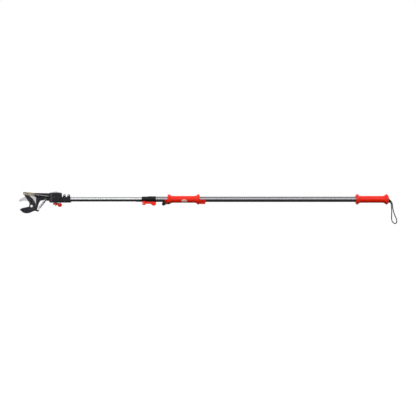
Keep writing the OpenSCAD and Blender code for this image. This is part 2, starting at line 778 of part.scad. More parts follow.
blade_outline = concat(
    curve([[-72, -18], [-60, -11], [-48, -8], [-36, -5.5], [-24, -2.5], [-16.5, 0.5], [-12, 5], [-10.5, 12],
        [-12.5, 19], [-17, 27], [-24, 35], [-30, 44]]),
    [[-24, 50], [-8, 53]],
    curve([[3, 45], [10, 36], [17, 26], [21.5, 16], [23.5, 4], [26, -4], [33, -11]], 3),
    arc([38, -18], 6.5, 80, -40, 6),
    arc([36, -26], 6.5, 0, -120, 6),
    curve([[28, -30.5], [20, -28.5], [12, -29.5], [4, -32.5], [-6, -37.5], [-18, -41.5], [-30, -43],
        [-42, -42], [-54, -37.5], [-62, -31], [-68, -25]])
);

module cutting_blade() {
    color([0.13, 0.13, 0.14]) difference() {
        at_pivot() plate(blade_front, blade_back) polygon(blade_outline);
        rod_y(x_pivot, z_pivot, 6.05, -8, 8);
        at_pivot() rod_y(tail_pin[0], tail_pin[1], 1.53, -8, 8);
        at_pivot() for (p = rivet_places) rod_y(p[0], p[1], 2.03, -8, 8);
    }
}

rivet_places = [[-14, 42], [10, 19]];

lever_outline = concat(
    curve([[-12.5, 16], [-17, 26], [-24, 34.5], [-30, 43], [-36, 52], [-42, 61], [-47, 69]]),
    arc(link_pin, 9, 190, 20, 10),
    curve([[-26, 70], [-13, 62], [-5, 53], [3, 45], [10, 36], [17, 26], [21.5, 16], [23, 3]]),
    arc([0, 0], 22, -20, -150, 10),
    [[-16, -2]]
);

lever_top_outline = concat(
    [[-37, 53.5], [-42, 61], [-47, 69]],
    arc(link_pin, 9, 190, 20, 10),
    curve([[-26, 70], [-13, 62]]),
    [[-9.5, 58]]
);

// Lever that carries the blade and reaches up to the pull link
module blade_lever() {
    color([0.16, 0.16, 0.17]) difference() {
        at_pivot() {
            plate(lever_front, blade_front - 0.02) polygon(lever_outline);
            plate(blade_front - 0.1, blade_back) polygon(lever_top_outline);
        }
        rod_y(x_pivot, z_pivot, 6.05, -8, 8);
        at_pivot() rod_y(link_pin[0], link_pin[1], 2.53, -8, 8);
        at_pivot() for (p = rivet_places) rod_y(p[0], p[1], 2.03, -8, 8);
        // pocket that leaves a rim, and a boss round each pin
        at_pivot() plate(lever_front - 1, lever_front + 0.9) difference() {
            offset(delta = -4) polygon(lever_outline);
            circle(12);
            translate(link_pin) circle(6.5);
            for (p = rivet_places) translate(p) circle(5);
        }
    }
}

module lever_rivets() {
    color("gray") at_pivot() for (p = rivet_places) {
        rod_y(p[0], p[1], 2, lever_front - 0.1, blade_back - 0.05);
        rod_y(p[0], p[1], 3.4, lever_front - 1.5, lever_front - 0.05);
    }
}

module tail_pin_stud() {
    color("gray") at_pivot() {
        rod_y(tail_pin[0], tail_pin[1], 1.5, -7.4, blade_back);
        rod_y(tail_pin[0], tail_pin[1], 5.5, -8.8, -7.4);
    }
}

module link_pin_stud() {
    color("gray") at_pivot() {
        rod_y(link_pin[0], link_pin[1], 2.5, -7, 7);
        for (s = [-1, 1]) rod_y(link_pin[0], link_pin[1], 3.6, s * 7.5 - 0.9, s * 7.5 + 0.9);
    }
}

// Bush that turns on the pivot bolt with the blade
module pivot_bush() {
    color("darkgoldenrod") difference() {
        union() {
            rod_y(x_pivot, z_pivot, 6, -6.3, blade_back);
            rod_y(x_pivot, z_pivot, 7.3, -6.3, lever_front - 0.05);
        }
        rod_y(x_pivot, z_pivot, 4.03, -8, 8);
    }
}

// Folded bracket that joins the lever to the cord's pulley, measured from the swivel axis
link_outline = concat(
    arc([-189, 39.5], 5, 180, 95, 5),
    arc([-133, 34.5], 4.5, 85, 0, 5),
    arc([-131.5, 20.5], 3, 0, -90, 4),
    arc([-189.5, 30.5], 3.5, 262, 180, 4)
);

module pull_link() {
    out_y = 6.3;
    in_y = 4.9;
    color([0.72, 0.64, 0.45]) difference() {
        translate([x_swivel, 0, 0]) plate(-out_y, out_y) polygon(link_outline);
        translate([x_swivel, 0, 0]) plate(-in_y, in_y) polygon([[-196, 10], [-196, 42.9], [-181, 42.7],
            [-126, 37.4], [-120, 10]]);
        at_pivot() rod_y(link_pin[0], link_pin[1], 2.56, -8, 8);
        rod_y(pulley_x, pulley_z, 2.03, -8, 8);
    }
}

module pulley_pin() {
    color("gray") union() {
        rod_y(pulley_x, pulley_z, 2, -6.9, 6.9);
        for (s = [-1, 1]) rod_y(pulley_x, pulley_z, 3, s * 6.95 - 0.35, s * 6.95 + 0.35);
    }
}

module link_pulley() {
    color("silver") translate([pulley_x, 0, pulley_z]) rotate([90, 0, 0]) rotate_extrude()
        polygon([[2.06, -4], [7.4, -4], [7.4, -3], [4, -1.9], [4, 1.9], [7.4, 3], [7.4, 4], [2.06, 4]]);
}

// ---------------------------------------------------------------- nodes

outer_tube();
clamp_collar();
collar_screws();
clamp_shoe();
clamp_lever_pin();
clamp_lever();
end_grip();
end_plug();
wrist_strap();
slide_grip();
slide_carriage();
carriage_screws();
grip_badge();
lock_pin();
lock_jaw();
lock_spring();
cord_lock_lever();
pull_cord();
cord_ferrule();
inner_tube();
inner_tube_bush();
swivel_base();
saddle_screws();
saddle_nuts();
swivel_bolt();
swivel_stop_pin();
cord_roller();
roller_pin();
swivel_cord();
swivel_lever();
swivel_lever_insert();
head_frame();
counter_blade();
counter_blade_rivets();
pivot_bolt();
pivot_nut();
spring_pin();
cord_anchor_pin();
return_spring();
head_cord();
spring_hook();
cutting_blade();
blade_lever();
lever_rivets();
tail_pin_stud();
link_pin_stud();
pivot_bush();
pull_link();
pulley_pin();
link_pulley();
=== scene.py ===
# Looks for the telescoping pole pruner: materials, softened edges, cords, springs, light and camera.
# Lengths are written in millimetres and scaled by MM; the row frame is in metres, +X towards the hand end.
import json
import math
import bpy
import bmesh
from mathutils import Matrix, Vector

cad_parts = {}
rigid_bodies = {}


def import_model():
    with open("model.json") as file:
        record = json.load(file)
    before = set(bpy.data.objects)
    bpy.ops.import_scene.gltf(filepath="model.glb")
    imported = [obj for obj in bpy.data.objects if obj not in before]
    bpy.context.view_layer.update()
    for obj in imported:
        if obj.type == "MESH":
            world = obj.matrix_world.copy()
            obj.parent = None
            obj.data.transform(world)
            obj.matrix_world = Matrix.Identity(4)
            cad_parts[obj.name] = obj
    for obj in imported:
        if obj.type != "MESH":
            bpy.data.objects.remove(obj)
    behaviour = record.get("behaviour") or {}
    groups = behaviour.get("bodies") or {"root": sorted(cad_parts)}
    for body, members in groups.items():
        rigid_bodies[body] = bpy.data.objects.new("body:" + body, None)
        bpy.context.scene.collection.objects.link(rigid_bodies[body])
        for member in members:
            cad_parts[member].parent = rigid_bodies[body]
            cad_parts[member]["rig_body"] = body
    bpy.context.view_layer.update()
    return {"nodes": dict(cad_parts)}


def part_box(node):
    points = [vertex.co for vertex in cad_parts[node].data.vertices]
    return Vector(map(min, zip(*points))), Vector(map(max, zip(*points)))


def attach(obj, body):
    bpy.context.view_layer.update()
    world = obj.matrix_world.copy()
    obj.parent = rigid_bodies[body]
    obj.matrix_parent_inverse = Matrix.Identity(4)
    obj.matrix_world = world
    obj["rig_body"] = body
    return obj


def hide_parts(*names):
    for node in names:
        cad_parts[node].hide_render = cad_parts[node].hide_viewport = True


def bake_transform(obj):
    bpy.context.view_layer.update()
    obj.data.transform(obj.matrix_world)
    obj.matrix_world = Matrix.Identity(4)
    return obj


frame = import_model()
scene = bpy.context.scene
MM = 0.001


# ---------------------------------------------------------------- camera

def look(obj, target):
    obj.rotation_euler = (Vector(target) - obj.location).to_track_quat("-Z", "Y").to_euler()


def add_camera(target, distance, yaw, lens):
    data = bpy.data.cameras.new("camera")
    obj = bpy.data.objects.new("camera", data)
    scene.collection.objects.link(obj)
    yaw = math.radians(yaw)
    obj.location = Vector(target) + distance * Vector((math.sin(yaw), -math.cos(yaw), 0))
    look(obj, target)
    data.lens = lens
    data.sensor_width = 36
    data.clip_end = 100
    scene.camera = obj


add_camera(target=(-0.982, 0, -0.052), distance=4.2, yaw=0, lens=60.6)
scene.view_settings.view_transform = "Standard"


# ---------------------------------------------------------------- places, from the frame

def middle(node):
    low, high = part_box(node)
    return (low + high) / 2


SWIVEL = middle("swivel_bolt")
PIVOT = middle("pivot_bolt")
SPRING_TOP = middle("spring_pin")
SPRING_END = middle("tail_pin_stud")
CORD = middle("pull_cord")
CORD_RADIUS = 2 * MM
CORD_SLACK = 0.1 * MM       # room between the cord and its hole
STRAP_RADIUS = 3 * MM
STRAP_WEAVE = (6, 9.0)      # turns of a strand family round the tube, and its pitch in mm
CORD_WEAVE = (5, 7.0)
WEAVE_DEPTH = 0.05          # share of the radius
ARM_ROOT = SWIVEL.x - 38 * MM


# ---------------------------------------------------------------- mesh helpers

def add_object(name, mesh):
    obj = bpy.data.objects.new(name, mesh)
    scene.collection.objects.link(obj)
    return obj


def smooth_mesh(mesh, angle):
    for polygon in mesh.polygons:
        polygon.use_smooth = True
    mesh.set_sharp_from_angle(angle=math.radians(angle))


def curve_through(points, steps=4):
    """Catmull-Rom curve through given points."""
    points = [Vector(p) for p in points]
    last = len(points) - 1
    out = []
    for i in range(last):
        a, b, c, d = points[max(i - 1, 0)], points[i], points[i + 1], points[min(i + 2, last)]
        for k in range(steps):
            t = k / steps
            out.append(0.5 * (2 * b + (c - a) * t + (2 * a - 5 * b + 4 * c - d) * t * t
                              + (3 * b - a - 3 * c + d) * t ** 3))
    return out + [points[last]]


def evenly(points, step):
    """The same line with points an even step apart."""
    lengths = [0.0]
    for a, b in zip(points, points[1:]):
        lengths.append(lengths[-1] + (b - a).length)
    count = max(2, round(lengths[-1] / step))
    out, k = [], 0
    for i in range(count + 1):
        s = lengths[-1] * i / count
        while k < len(points) - 2 and lengths[k + 1] < s:
            k += 1
        share = (s - lengths[k]) / max(lengths[k + 1] - lengths[k], 1e-9)
        out.append(points[k].lerp(points[k + 1], min(max(share, 0), 1)))
    return out


def sweep(name, points, radius, sides, relief=None):
    """Closed round tube along points, with UVs in metres along and turns around.
    relief(along, around) returns the share by which the radius changes there."""
    bm = bmesh.new()
    uv = bm.loops.layers.uv.new("UVMap")
    rings, along = [], [0.0]
    side = Vector((0, 1, 0))
    for i, p in enumerate(points):
        ahead = (points[min(i + 1, len(points) - 1)] - points[max(i - 1, 0)]).normalized()
        side = (side - ahead * side.dot(ahead)).normalized()
        up = ahead.cross(side)
        if i:
            along.append(along[-1] + (p - points[i - 1]).length)
        ring = []
        for k in range(sides):
            turn = k / sides
            angle = 2 * math.pi * turn
            r = radius * (1 + (relief(along[-1], turn) if relief else 0))
            ring.append(bm.verts.new(p + r * (math.cos(angle) * side + math.sin(angle) * up)))
        rings.append(ring)
    for i in range(len(rings) - 1):
        for k in range(sides):
            n = (k + 1) % sides
            face = bm.faces.new([rings[i][k], rings[i][n], rings[i + 1][n], rings[i + 1][k]])
            corners = [(along[i], k), (along[i], k + 1), (along[i + 1], k + 1), (along[i + 1], k)]
            for loop, (u, v) in zip(face.loops, corners):
                loop[uv].uv = (u, v / sides)
    bm.faces.new(list(reversed(rings[0])))
    bm.faces.new(rings[-1])
    bmesh.ops.recalc_face_normals(bm, faces=bm.faces)
    mesh = bpy.data.meshes.new(name)
    bm.to_mesh(mesh)
    bm.free()
    smooth_mesh(mesh, 60)
    return add_object(name, mesh)


def clean_copy(node):
    """bmesh of a CAD node with its triangles joined into whole faces."""
    bm = bmesh.new()
    bm.from_mesh(frame["nodes"][node].data)
    bmesh.ops.remove_doubles(bm, verts=bm.verts, dist=0.002 * MM)
    bmesh.ops.dissolve_limit(bm, angle_limit=math.radians(1.0), verts=bm.verts, edges=bm.edges)
    return bm


def soften(node, width, segments=2, change=None):
    """Copy of a CAD node with rounded edges. Faces made by the rounding carry wear = 1.
    change(bm) may reshape the copy first."""
    bm = clean_copy(node)
    if change:
        change(bm)
    mesh = bpy.data.meshes.new(node + "_look")
    bm.to_mesh(mesh)
    bm.free()
    obj = add_object(node + "_look", mesh)
    for _ in range(3):
        mesh.materials.append(None)
    if width:
        bevel = obj.modifiers.new("bevel", "BEVEL")
        bevel.width = width * MM
        bevel.segments = segments
        bevel.limit_method = "ANGLE"
        bevel.angle_limit = math.radians(40)
        bevel.use_clamp_overlap = False
        bevel.material = 2
        normals = obj.modifiers.new("normals", "WEIGHTED_NORMAL")
        normals.keep_sharp = True
    smooth_mesh(mesh, 50)
    depsgraph = bpy.context.evaluated_depsgraph_get()
    final = bpy.data.meshes.new_from_object(obj.evaluated_get(depsgraph), depsgraph=depsgraph)
    obj.modifiers.clear()
    obj.data = final
    bpy.data.meshes.remove(mesh)
    wear = final.attributes.new("wear", "FLOAT", "FACE")
    for i, polygon in enumerate(final.polygons):
        wear.data[i].value = 1.0 if polygon.material_index == 2 else 0.0
        if polygon.material_index == 2:
            polygon.material_index = 0
    final.materials.clear()
    return obj


def finish_piece(obj, body, materials, nodes=()):
    """Gives a piece its materials and body, and hides the CAD nodes it stands for."""
    for material in materials:
        obj.data.materials.append(material)
    if nodes:
        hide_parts(*nodes)
    if body:
        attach(obj, body)
    return obj


# ---------------------------------------------------------------- materials

class Material:
    """A Principled material whose colour, roughness and bump come from small procedural graphs."""

    def __init__(self, name, **constants):
        self.data = bpy.data.materials.new(name)
        self.data.use_nodes = True
        self.nodes = self.data.node_tree.nodes
        self.links = self.data.node_tree.links
        self.shader = self.nodes["Principled BSDF"]
        for key, value in constants.items():
            self.shader.inputs[key.replace("_", " ")].default_value = value
        self.normal = None

    def node(self, kind, sources=(), **settings):
        made = self.nodes.new("ShaderNode" + kind)
        for key, value in settings.items():
            if key in made.inputs:
                made.inputs[key].default_value = value
            else:
                setattr(made, key, value)
        for slot, source in sources:
            self.links.new(source, made.inputs[slot])
        return made

    def place(self, stretch, turn):
        coords = self.node("TexCoord").outputs["Object"]
        mapping = self.node("Mapping", [("Vector", coords)], Scale=stretch,
                            Rotation=[math.radians(a) for a in turn])
        return mapping.outputs["Vector"]

    def noise(self, size, stretch=(1, 1, 1), turn=(0, 0, 0), detail=3.0, distortion=0.0):
        """Noise whose lumps are about size millimetres across, divided by stretch along each axis."""
        made = self.node("TexNoise", [("Vector", self.place(stretch, turn))], Scale=1 / (size * MM),
                         Detail=detail, Distortion=distortion)
        return made.outputs["Fac"]

    def level(self, source, low, high, to_low=0.0, to_high=1.0):
        made = self.node("MapRange", [("Value", source)])
        for key, value in (("From Min", low), ("From Max", high), ("To Min", to_low), ("To Max", to_high)):
            made.inputs[key].default_value = value
        return made.outputs["Result"]

    def multiply(self, a, b):
        return self.node("Math", [(0, a), (1, b)], operation="MULTIPLY").outputs[0]

    def mix(self, share, low, high):
        """Colour between low and high; each is a colour or an output."""
        made = self.node("Mix", [("Factor", share)], data_type="RGBA")
        for socket, value in ((made.inputs[6], low), (made.inputs[7], high)):
            if isinstance(value, tuple):
                socket.default_value = (*value, 1)
            else:
                self.links.new(value, socket)
        return made.outputs[2]

    def wear(self, mask):
        """Where edges were rounded, broken up by mask."""
        edge = self.node("Attribute", attribute_name="wear").outputs["Fac"]
        return self.multiply(edge, mask)

    def bump(self, height, depth, strength=1.0):
        """Bump of depth millimetres, on top of any bump that is there."""
        sources = [("Height", height)] + ([("Normal", self.normal)] if self.normal else [])
        self.normal = self.node("Bump", sources, Distance=depth * MM, Strength=strength).outputs["Normal"]
        self.links.new(self.normal, self.shader.inputs["Normal"])

    def feed(self, socket, source):
        self.links.new(source, self.shader.inputs[socket])


def anodised_aluminium(name, low, high, roughness):
    m = Material(name, Metallic=1.0)
    lines = m.noise(1.2, (0.012, 1, 1), detail=4)
    blotches = m.noise(45, (0.35, 1, 1))
    tone = m.mix(m.level(blotches, 0.3, 0.7), low, high)
    scratch = m.level(m.noise(2.2, (0.05, 1, 1), detail=6), 0.66, 0.72)
    shown = m.multiply(scratch, m.level(blotches, 0.5, 0.65, 0.0, 0.5))
    m.feed("Base Color", m.mix(shown, tone, (0.55, 0.55, 0.56)))
    m.feed("Roughness", m.level(lines, 0.25, 0.75, *roughness))
    m.bump(lines, 0.002, 0.4)
    m.bump(scratch, 0.004, 0.25)
    return m.data


def red_plastic():
    m = Material("red_plastic", IOR=1.46, Specular_IOR_Level=0.24)
    cloud = m.noise(22)
    tone = m.mix(m.level(cloud, 0.3, 0.7), (0.76, 0.015, 0.003), (0.83, 0.020, 0.005))
    worn = m.wear(m.level(m.noise(7), 0.45, 0.7, 0.0, 0.6))
    m.feed("Base Color", m.mix(worn, tone, (0.90, 0.07, 0.035)))
    rubbed = m.noise(9, (0.4, 1, 1), detail=5)
    m.feed("Roughness", m.level(rubbed, 0.3, 0.7, 0.24, 0.34))
    m.bump(m.noise(0.5), 0.008, 0.5)
    return m.data


def black_plastic():
    m = Material("black_plastic", Specular_IOR_Level=0.14)
    cloud = m.noise(12)
    tone = m.mix(m.level(cloud, 0.3, 0.7), (0.004, 0.004, 0.005), (0.008, 0.008, 0.009))
    worn = m.wear(m.level(m.noise(4), 0.4, 0.65))
    m.feed("Base Color", m.mix(worn, tone, (0.03, 0.03, 0.031)))
    m.feed("Roughness", m.level(m.noise(5, detail=5), 0.3, 0.7, 0.26, 0.42))
    m.bump(m.noise(0.55), 0.02, 0.7)
    return m.data


def cast_alloy(name, low, high, worn, specular=0.26):
    """Painted casting; worn is the colour where its edges have lost the paint."""
    m = Material(name, Specular_IOR_Level=specular)
    cloud = m.noise(16)
    tone = m.mix(m.level(cloud, 0.3, 0.7), low, high)
    chips = m.level(m.noise(3.0, detail=6), 0.50, 0.60)
    m.feed("Base Color", m.mix(m.wear(chips), tone, worn))
    m.feed("Roughness", m.level(m.noise(2.5, detail=5), 0.3, 0.7, 0.26, 0.42))
    m.bump(m.noise(1.1, detail=4), 0.04, 0.7)
    return m.data


def coated_blade():
    m = Material("coated_blade", Specular_IOR_Level=0.26)
    cloud = m.noise(18)
    tone = m.mix(m.level(cloud, 0.3, 0.7), (0.005, 0.004, 0.008), (0.010, 0.009, 0.014))
    scratch = m.level(m.noise(1.6, (0.07, 1, 1), turn=(0, 25, 0), detail=6), 0.64, 0.70)
    worn = m.wear(m.level(m.noise(2.5), 0.42, 0.6))
    m.feed("Base Color", m.mix(worn, m.mix(scratch, tone, (0.05, 0.05, 0.053)), (0.18, 0.18, 0.19)))
    m.feed("Roughness", m.level(m.noise(6, detail=5), 0.3, 0.7, 0.24, 0.42))
    m.bump(m.noise(0.6), 0.015, 0.6)
    return m.data


def steel(name, low, high, roughness, size, stretch, turn=(0, 0, 0), depth=0.01):
    """Bare steel with grinding lines."""
    m = Material(name, Metallic=1.0)
    lines = m.noise(size, stretch, turn, detail=5)
    blotches = m.noise(12)
    m.feed("Base Color", m.mix(m.level(blotches, 0.3, 0.7), low, high))
    m.feed("Roughness", m.level(lines, 0.3, 0.7, *roughness))
    m.bump(lines, depth, 0.6)
    return m.data


def yellow_zinc():
    m = Material("yellow_zinc", Metallic=1.0)
    gold = m.mix(m.level(m.noise(15, distortion=0.6), 0.35, 0.65), (0.22, 0.18, 0.12), (0.44, 0.38, 0.27))
    rose = m.mix(m.level(m.noise(9, distortion=1.2), 0.52, 0.68), gold, (0.36, 0.24, 0.17))
    m.feed("Base Color", m.mix(m.level(m.noise(11, turn=(40, 0, 30)), 0.55, 0.72), rose, (0.17, 0.18, 0.13)))
    m.feed("Roughness", m.level(m.noise(1.5, detail=5), 0.3, 0.7, 0.30, 0.46))
    m.bump(m.noise(0.8), 0.012, 0.6)
    return m.data


def bronze():
    m = Material("bronze", Metallic=1.0)
    m.feed("Base Color", m.mix(m.level(m.noise(4), 0.3, 0.7), (0.42, 0.26, 0.10), (0.56, 0.36, 0.15)))
    m.feed("Roughness", m.level(m.noise(1.2, detail=4), 0.3, 0.7, 0.28, 0.44))
    m.bump(m.noise(0.7), 0.015, 0.5)
    return m.data


def badge():
    m = Material("badge")
    lines = m.noise(0.5, (0.05, 1, 1), detail=4)
    m.feed("Base Color", m.mix(m.level(m.noise(3), 0.3, 0.7), (0.74, 0.71, 0.69), (0.84, 0.81, 0.79)))
    m.feed("Roughness", m.level(lines, 0.3, 0.7, 0.34, 0.50))
    m.bump(lines, 0.01, 0.5)
    return m.data


def braided_cord(name, turns, pitch, low, high):
    """Two families of strands crossing on a swept tube; turns of each family round the tube, pitch in mm."""
    m = Material(name, Sheen_Weight=0.04, Sheen_Roughness=0.5, Specular_IOR_Level=0.12)
    split = m.node("SeparateXYZ", [("Vector", m.node("TexCoord").outputs["UV"])])
    along, around = split.outputs["X"], split.outputs["Y"]
    families = []
    for sign in (1, -1):
        run = m.node("Math", [(0, along)], operation="MULTIPLY")
        run.inputs[1].default_value = sign * 2 * math.pi / (pitch * MM)
        turn = m.node("Math", [(0, around), (2, run.outputs[0])], operation="MULTIPLY_ADD")
        turn.inputs[1].default_value = 2 * math.pi * turns
        families.append(m.node("Math", [(0, turn.outputs[0])], operation="SINE").outputs[0])
    weave = m.node("Math", [(0, families[0]), (1, families[1])], operation="MAXIMUM").outputs[0]
    fibre = m.noise(0.4, detail=4)
    height = m.level(weave, -0.6, 1.0)
    # Painted shade and highlight: the colour is darker between the strands and lighter on their crowns,
    # following the weave height.
    m.feed("Base Color", m.mix(m.multiply(height, m.level(fibre, 0.3, 0.7, 0.6, 1.0)), low, high))
    m.feed("Roughness", m.level(fibre, 0.3, 0.7, 0.62, 0.85))
    m.bump(height, 0.25, 0.8)
    m.bump(fibre, 0.05, 0.6)
    return m.data


OUTER_TUBE = anodised_aluminium("outer_aluminium", (0.235, 0.232, 0.242), (0.255, 0.252, 0.262), (0.28, 0.36))
INNER_TUBE = anodised_aluminium("inner_aluminium", (0.405, 0.41, 0.415), (0.43, 0.435, 0.44), (0.24, 0.32))
RED = red_plastic()
BLACK = black_plastic()
ALLOY = cast_alloy("cast_alloy", (0.006, 0.006, 0.009), (0.013, 0.012, 0.017), (0.16, 0.16, 0.17),
                   specular=0.22)
# A lighter copy of the casting paint, used as a painted highlight on the arm's upward slope.
HIGHLIGHT_ALLOY = cast_alloy("painted_highlight_alloy", (0.10, 0.10, 0.11), (0.17, 0.17, 0.18), (0.25, 0.25, 0.26), specular=0.5)
COATED = coated_blade()
POLISHED = steel("polished_steel", (0.50, 0.50, 0.51), (0.58, 0.58, 0.59), (0.18, 0.34), 0.9, (1, 1, 0.04),
                 turn=(0, 35, 0))
BRIGHT = steel("bright_steel", (0.78, 0.78, 0.79), (0.88, 0.88, 0.89), (0.14, 0.24), 1.2, (1, 1, 1),
               depth=0.006)
GROUND = steel("ground_edge", (0.62, 0.63, 0.64), (0.74, 0.74, 0.75), (0.16, 0.30), 0.5, (1, 1, 0.06))
ZINC = steel("zinc_plate", (0.50, 0.51, 0.53), (0.62, 0.62, 0.64), (0.26, 0.44), 1.4, (1, 1, 1), depth=0.02)
YELLOW = yellow_zinc()
BRONZE = bronze()
BADGE = badge()
ENAMEL = cast_alloy("badge_enamel", (0.50, 0.20, 0.17), (0.58, 0.26, 0.22), (0.62, 0.40, 0.36))
# In each braid the darker colour is painted shade between the strands and the lighter one a painted highlight
# on their crowns.
STRAP_BRAID = braided_cord("strap_braid", *STRAP_WEAVE, (0.003, 0.003, 0.0035), (0.013, 0.013, 0.014))
CORD_BRAID = braided_cord("cord_braid", *CORD_WEAVE, (0.003, 0.003, 0.0035), (0.016, 0.016, 0.017))


# ---------------------------------------------------------------- wrist strap, the one free cord

def braid_relief(turns, pitch, depth):
    """Relief of crossing strands on a swept tube: 0 on a strand, down to -2 * depth between them."""
    def relief(along, around):
        run = 2 * math.pi * along / (pitch * MM)
        turn = 2 * math.pi * turns * around
        return depth * (max(math.sin(turn + run), math.sin(turn - run)) - 1)
    return relief


def from_mm(points):
    return [Vector(p) * MM for p in points]


strap_route = from_mm([
    (108, 0, -13.5), (112, 0, -17.5), (115.5, 0, -24), (117.5, 0, -34), (118.5, 0, -46), (119.5, 0, -60),
    (120, 0, -75), (119.5, 0, -90), (119, 0, -105), (119.5, 0, -118), (121.5, 0, -128), (125.5, 0, -136),
    (131.5, 0, -142), (139, 0, -145), (145, 0, -143.5), (149, 0, -138), (150.5, 0, -130.5), (149, 0, -122),
    (145.5, 0, -112), (141, 0, -101), (136.5, 0, -90), (132.5, 0, -78), (129, 0, -66), (126.5, 0, -54),
    (125.5, 0, -43), (124.5, 0, -33), (122, 0, -23.5), (118, 0, -15), (113, 0, -9), (108, 0, -6),
])
strap_line = evenly(curve_through(strap_route), 0.75 * MM)
strap = sweep("wrist_strap_look", strap_line, STRAP_RADIUS, 24, braid_relief(*STRAP_WEAVE, WEAVE_DEPTH))
finish_piece(strap, "pole", [STRAP_BRAID], ["wrist_strap"])


# ---------------------------------------------------------------- pull cord and the cord in the swivel

def cord_piece(name, points, body, node, step=0.8, sides=16):
    """Taut cord through points; step is the length of its rings in millimetres."""
    line = evenly(curve_through(points), step * MM)
    obj = sweep(name, line, CORD_RADIUS - CORD_SLACK, sides, braid_relief(*CORD_WEAVE, WEAVE_DEPTH))
    return finish_piece(obj, body, [CORD_BRAID], [node] if node else [])


def from_swivel(points):
    """Points given in millimetres from the swivel axis."""
    return [Vector((SWIVEL.x, 0, 0)) + Vector(p) * MM for p in points]


cord_low, cord_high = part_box("pull_cord")
roller_end = Vector((cord_low.x, 0, CORD.z))
ferrule_end = Vector((cord_high.x, 0, CORD.z))
pull_cord = cord_piece("pull_cord_look", [roller_end, CORD, ferrule_end], None, "pull_cord",
                       step=1.5, sides=12)
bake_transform(pull_cord)

cord_piece("swivel_cord_look", from_swivel([
    (28, 0, -11.4), (24, 0, -11.4), (20, 0, -11.4), (17, 0, -10.6), (14.8, 0, -8.2), (14, 0, -5),
    (14, 0, 0), (14, 0, 6), (14, 0, 12.9),
]), "inner", "swivel_cord")

# The strands beside the pulley travel with the link; the rest stays with the head.
cord_piece("head_cord_strands", from_swivel([
    (-93, 0, 21.5), (-110, 0, 22.6), (-135, 0, 24.2), (-148, 0, 24.5), (-151.5, 0, 25.5), (-153.9, 0, 28.2),
    (-154.4, 0, 31.6), (-153, 0, 34.9), (-150.3, 0, 36.7), (-147, 0, 37), (-125, 0, 34.9), (-100, 0, 33.2),
    (-93, 0, 32.8),
]), "link", None)
cord_piece("head_cord_return", from_swivel([(-44.5, 0, 18.6), (-60, 0, 19.7), (-85, 0, 21), (-96, 0, 21.7)]),
           "head", None)
cord_piece("head_cord_neck", from_swivel([
    (-96, 0, 33), (-85, 0, 32.3), (-72, 0, 31.4), (-50, 0, 30.6), (-30, 0, 30), (-21, 3, 29.6), (-13, 9, 29),
    (-4, 13, 28.4), (6, 12.6, 27.6), (11.5, 8, 26.4), (13.6, 3.4, 23.8), (14, 0.8, 20.4), (14, 0, 17),
    (14, 0, 13.3),
]), "head", "head_cord")


# ---------------------------------------------------------------- return spring

def add_return_spring(coil=5.75, wire=1.0, turns=34, loop=4.0, end_room=8.0, hook_offset=-4.6):
    """Loop on the neck's pin, coils, and a straight end that meets the hook on the blade's tail."""
    ahead = (SPRING_END - SPRING_TOP)
    ahead.y = 0
    length = ahead.length / MM
    ahead.normalize()
    across = Vector((0, 1, 0)).cross(ahead)
    out = Vector((0, 1, 0))

    def at(along, side, forward):
        return Vector((SPRING_TOP.x, 0, SPRING_TOP.z)) + MM * (along * ahead + side * across + forward * out)

    points = []
    for k in range(27):
        angle = math.radians(30 + 330 * k / 26)
        points.append(at(loop * math.cos(angle), loop * math.sin(angle), 0))
    points += [at(loop + 0.6, 0.3, -0.8), at(loop + 1.8, 0.6, -3.2)]
    steps = 24
    first, last = end_room - 0.6, length - end_room - 1.2
    for k in range(turns * steps + 1):
        angle = math.radians(-90 + 360 * k / steps)
        points.append(at(first + (last - first) * k / (turns * steps), coil * math.cos(angle),
                         coil * math.sin(angle)))
    points += [at(last + 1.2, 1.2, -coil + 0.5), at(length - 7, 0.3, hook_offset),
               at(length - 5.5, 0, hook_offset)]
    obj = sweep("return_spring_look", points, wire * MM, 10)
    finish_piece(obj, None, [ZINC], ["return_spring"])
    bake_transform(obj)


add_return_spring()


# ---------------------------------------------------------------- pieces that keep the CAD's shape

def body_of_node(node):
    return frame["nodes"][node]["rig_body"]


def dress(materials, widths, segments=2):
    """Softened copies of CAD nodes; widths maps each node to the rounding in millimetres."""
    made = {}
    for node, width in widths.items():
        obj = soften(node, width, segments)
        made[node] = finish_piece(obj, body_of_node(node), materials, [node])
    return made


def ground_edge(side, inward, inside, thin_side):
    """Change for soften(): slopes one side of a blade's rim to a thin edge.
    inside(x, z, nx, nz) picks rim points; thin_side is the sign of the Y face that is cut back."""
    def change(bm):
        faces = [f for f in bm.faces if abs(f.normal.y) < 0.5]
        flat = max(bm.verts, key=lambda v: thin_side * v.co.y).co.y
        moves = {}
        for face in faces:
            for v in face.verts:
                if abs(v.co.y - flat) < 0.05 * MM:
                    moves.setdefault(v, Vector()).xz += face.normal.xz
        for v, normal in moves.items():
            normal.normalize()
            if inside((v.co.x - side.x) / MM, (v.co.z - side.z) / MM, normal.x, normal.z):
                v.co -= normal * inward * MM
        bm.normal_update()
    return change


def mark_ground(obj, low, high):
    """Second material on the sloped faces of a ground edge: those whose normal has a Y part
    between low and high."""
    wear = obj.data.attributes["wear"].data
    for polygon in obj.data.polygons:
        if low < abs(polygon.normal.y) < high and wear[polygon.index].value < 0.5:
            polygon.material_index = 1


def cutting_rim(x, z, nx, nz):
    return -71 < x < -13 and nz > 0.25 and z < 6


def hook_rim(x, z, nx, nz):
    return -74 < x < -19 and nz < -0.15 and z > 18


def add_blades():
    blade = soften("cutting_blade", 0.15, 1, ground_edge(PIVOT, 1.6, cutting_rim, -1))
    finish_piece(blade, "blade", [COATED, GROUND], ["cutting_blade"])
    mark_ground(blade, 0.3, 0.97)
    hook = soften("counter_blade", 0.2, 1, ground_edge(PIVOT, 1.2, hook_rim, 1))
    finish_piece(hook, "head", [POLISHED, GROUND], ["counter_blade"])
    mark_ground(hook, 0.3, 0.97)


